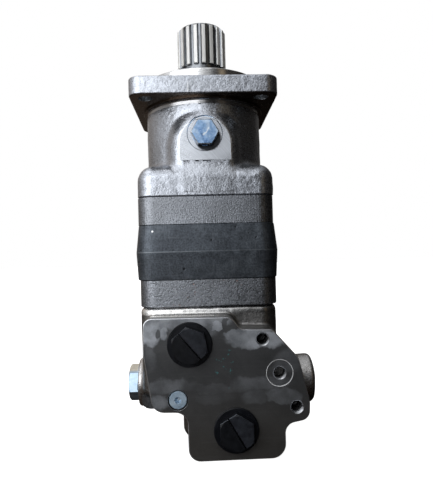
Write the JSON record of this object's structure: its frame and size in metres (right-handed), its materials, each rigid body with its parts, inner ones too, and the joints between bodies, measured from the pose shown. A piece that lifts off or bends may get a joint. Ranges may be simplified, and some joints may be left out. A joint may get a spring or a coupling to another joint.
{
  "type": "hydraulic motor",
  "caption": "Flange-mounted two-speed disc-valve hydraulic motor with a rolling gear set, splined output shaft, selector spool and capped front ports",
  "frame": {"origin": "centre of the mounting face of the flange, on the shaft axis", "axes": "+Z out of the shaft end, the port face looks toward -Y, +X to the right when the port face is seen from the front with the shaft up"},
  "size_m": [0.1937, 0.1755, 0.4347],
  "materials": {
    "cast_iron": "shot-blasted cast iron with machined faces",
    "dark_iron": "satin blue-black phosphated cast iron, fine pits",
    "port_iron": "cast iron, port face ground smooth and dark",
    "steel": "ground and hardened steel",
    "dark_steel": "black oxide steel",
    "zinc": "bluish zinc plating",
    "rubber": "black nitrile",
    "plastic": "satin black moulded plastic"
  },
  "bodies": {
    "housing": {"bearing_housing": "cast_iron", "dust_seal": "rubber", "shaft_seal": "rubber", "front_cover": "dark_steel", "cover_seal": "rubber", "cover_screws": "dark_steel", "front_bearing_cup": "steel", "rear_bearing_cup": "steel", "case_drain_plug": "zinc", "case_drain_seal": "rubber", "housing_seal": "rubber", "wear_plate": "cast_iron", "ring_front_seal": "rubber", "roller_ring": "dark_iron", "ring_rear_seal": "rubber", "valve_plate": "cast_iron", "valve_plate_seal": "rubber", "dowel_pins": "steel", "valve_housing": "port_iron", "balance_ring": "steel", "balance_seal": "rubber", "balance_spring": "dark_steel", "balance_pins": "steel", "selector_spring": "dark_steel", "selector_plug": "zinc", "selector_plug_seal": "rubber", "face_plug": "zinc", "port_plug_a": "plastic", "port_plug_b": "plastic", "long_bolts": "dark_steel"},
    "shaft": {"output_shaft": "steel", "front_bearing_cone": "steel", "rear_bearing_cone": "steel", "bearing_spacer": "steel", "shaft_nut": "dark_steel"},
    "front_rollers": {"front_bearing_cage": "steel", "front_bearing_rollers": "steel"},
    "rear_rollers": {"rear_bearing_cage": "steel", "rear_bearing_rollers": "steel"},
    "orbit": {"drive_spacer": "steel"},
    "star_gear": {"star": "steel"},
    "long_drive": {"main_drive": "steel"},
    "short_drive": {"valve_drive": "steel"},
    "valve_disc": {"disc_valve": "steel"},
    "spool": {"selector_spool": "steel"},
    "b_roller_1": {"roller_1": "steel"},
    "b_roller_2": {"roller_2": "steel"},
    "b_roller_3": {"roller_3": "steel"},
    "b_roller_4": {"roller_4": "steel"},
    "b_roller_5": {"roller_5": "steel"},
    "b_roller_6": {"roller_6": "steel"},
    "b_roller_7": {"roller_7": "steel"},
    "b_roller_8": {"roller_8": "steel"},
    "b_roller_9": {"roller_9": "steel"}
  },
  "joints": [
    {"name": "shaft_spin", "type": "hinge", "parent": "housing", "child": "shaft", "pos_m": [0, 0, 0], "axis": [0, 0, 1], "continuous": true},
    {"name": "front_cage_spin", "type": "hinge", "parent": "housing", "child": "front_rollers", "pos_m": [0, 0, -0.0245], "axis": [0, 0, 1], "continuous": true},
    {"name": "rear_cage_spin", "type": "hinge", "parent": "housing", "child": "rear_rollers", "pos_m": [0, 0, -0.0755], "axis": [0, 0, 1], "continuous": true},
    {"name": "orbit_spin", "type": "hinge", "parent": "housing", "child": "orbit", "pos_m": [0, 0, -0.175], "axis": [0, 0, 1], "continuous": true},
    {"name": "star_spin", "type": "hinge", "parent": "orbit", "child": "star_gear", "pos_m": [0.0032, 0, -0.17], "axis": [0, 0, 1], "continuous": true},
    {"name": "main_drive_spin", "type": "hinge", "parent": "orbit", "child": "long_drive", "pos_m": [0, 0, -0.088], "axis": [-0.0457, 0, 0.999], "continuous": true},
    {"name": "valve_drive_spin", "type": "hinge", "parent": "orbit", "child": "short_drive", "pos_m": [0, 0, -0.245], "axis": [0.0565, 0, 0.9984], "continuous": true},
    {"name": "disc_valve_spin", "type": "hinge", "parent": "housing", "child": "valve_disc", "pos_m": [0, 0, -0.238], "axis": [0, 0, 1], "continuous": true},
    {"name": "roller_1_spin", "type": "hinge", "parent": "housing", "child": "b_roller_1", "pos_m": [0.046, 0, -0.17], "axis": [0, 0, 1], "continuous": true},
    {"name": "roller_2_spin", "type": "hinge", "parent": "housing", "child": "b_roller_2", "pos_m": [0.03524, 0.02957, -0.17], "axis": [0, 0, 1], "continuous": true},
    {"name": "roller_3_spin", "type": "hinge", "parent": "housing", "child": "b_roller_3", "pos_m": [0.00799, 0.0453, -0.17], "axis": [0, 0, 1], "continuous": true},
    {"name": "roller_4_spin", "type": "hinge", "parent": "housing", "child": "b_roller_4", "pos_m": [-0.023, 0.03984, -0.17], "axis": [0, 0, 1], "continuous": true},
    {"name": "roller_5_spin", "type": "hinge", "parent": "housing", "child": "b_roller_5", "pos_m": [-0.04323, 0.01573, -0.17], "axis": [0, 0, 1], "continuous": true},
    {"name": "roller_6_spin", "type": "hinge", "parent": "housing", "child": "b_roller_6", "pos_m": [-0.04323, -0.01573, -0.17], "axis": [0, 0, 1], "continuous": true},
    {"name": "roller_7_spin", "type": "hinge", "parent": "housing", "child": "b_roller_7", "pos_m": [-0.023, -0.03984, -0.17], "axis": [0, 0, 1], "continuous": true},
    {"name": "roller_8_spin", "type": "hinge", "parent": "housing", "child": "b_roller_8", "pos_m": [0.00799, -0.0453, -0.17], "axis": [0, 0, 1], "continuous": true},
    {"name": "roller_9_spin", "type": "hinge", "parent": "housing", "child": "b_roller_9", "pos_m": [0.03524, -0.02957, -0.17], "axis": [0, 0, 1], "continuous": true},
    {"name": "selector_shift", "type": "slide", "parent": "housing", "child": "spool", "axis": [1, 0, 0], "range_m": [0, 0.01], "stiffness_N_per_m": 3000, "springref_m": -0.012, "deforming": ["selector_spring"]}
  ],
  "couplings": [
    {"joint": "front_cage_spin", "follows": "shaft_spin", "ratio": 0.42},
    {"joint": "rear_cage_spin", "follows": "shaft_spin", "ratio": 0.42},
    {"joint": "orbit_spin", "follows": "shaft_spin", "ratio": -8},
    {"joint": "star_spin", "follows": "shaft_spin", "ratio": 9},
    {"joint": "main_drive_spin", "follows": "shaft_spin", "ratio": 9},
    {"joint": "valve_drive_spin", "follows": "shaft_spin", "ratio": 9},
    {"joint": "disc_valve_spin", "follows": "shaft_spin", "ratio": 1},
    {"joint": "roller_1_spin", "follows": "shaft_spin", "ratio": -6},
    {"joint": "roller_2_spin", "follows": "shaft_spin", "ratio": -6},
    {"joint": "roller_3_spin", "follows": "shaft_spin", "ratio": -6},
    {"joint": "roller_4_spin", "follows": "shaft_spin", "ratio": -6},
    {"joint": "roller_5_spin", "follows": "shaft_spin", "ratio": -6},
    {"joint": "roller_6_spin", "follows": "shaft_spin", "ratio": -6},
    {"joint": "roller_7_spin", "follows": "shaft_spin", "ratio": -6},
    {"joint": "roller_8_spin", "follows": "shaft_spin", "ratio": -6},
    {"joint": "roller_9_spin", "follows": "shaft_spin", "ratio": -6}
  ]
}
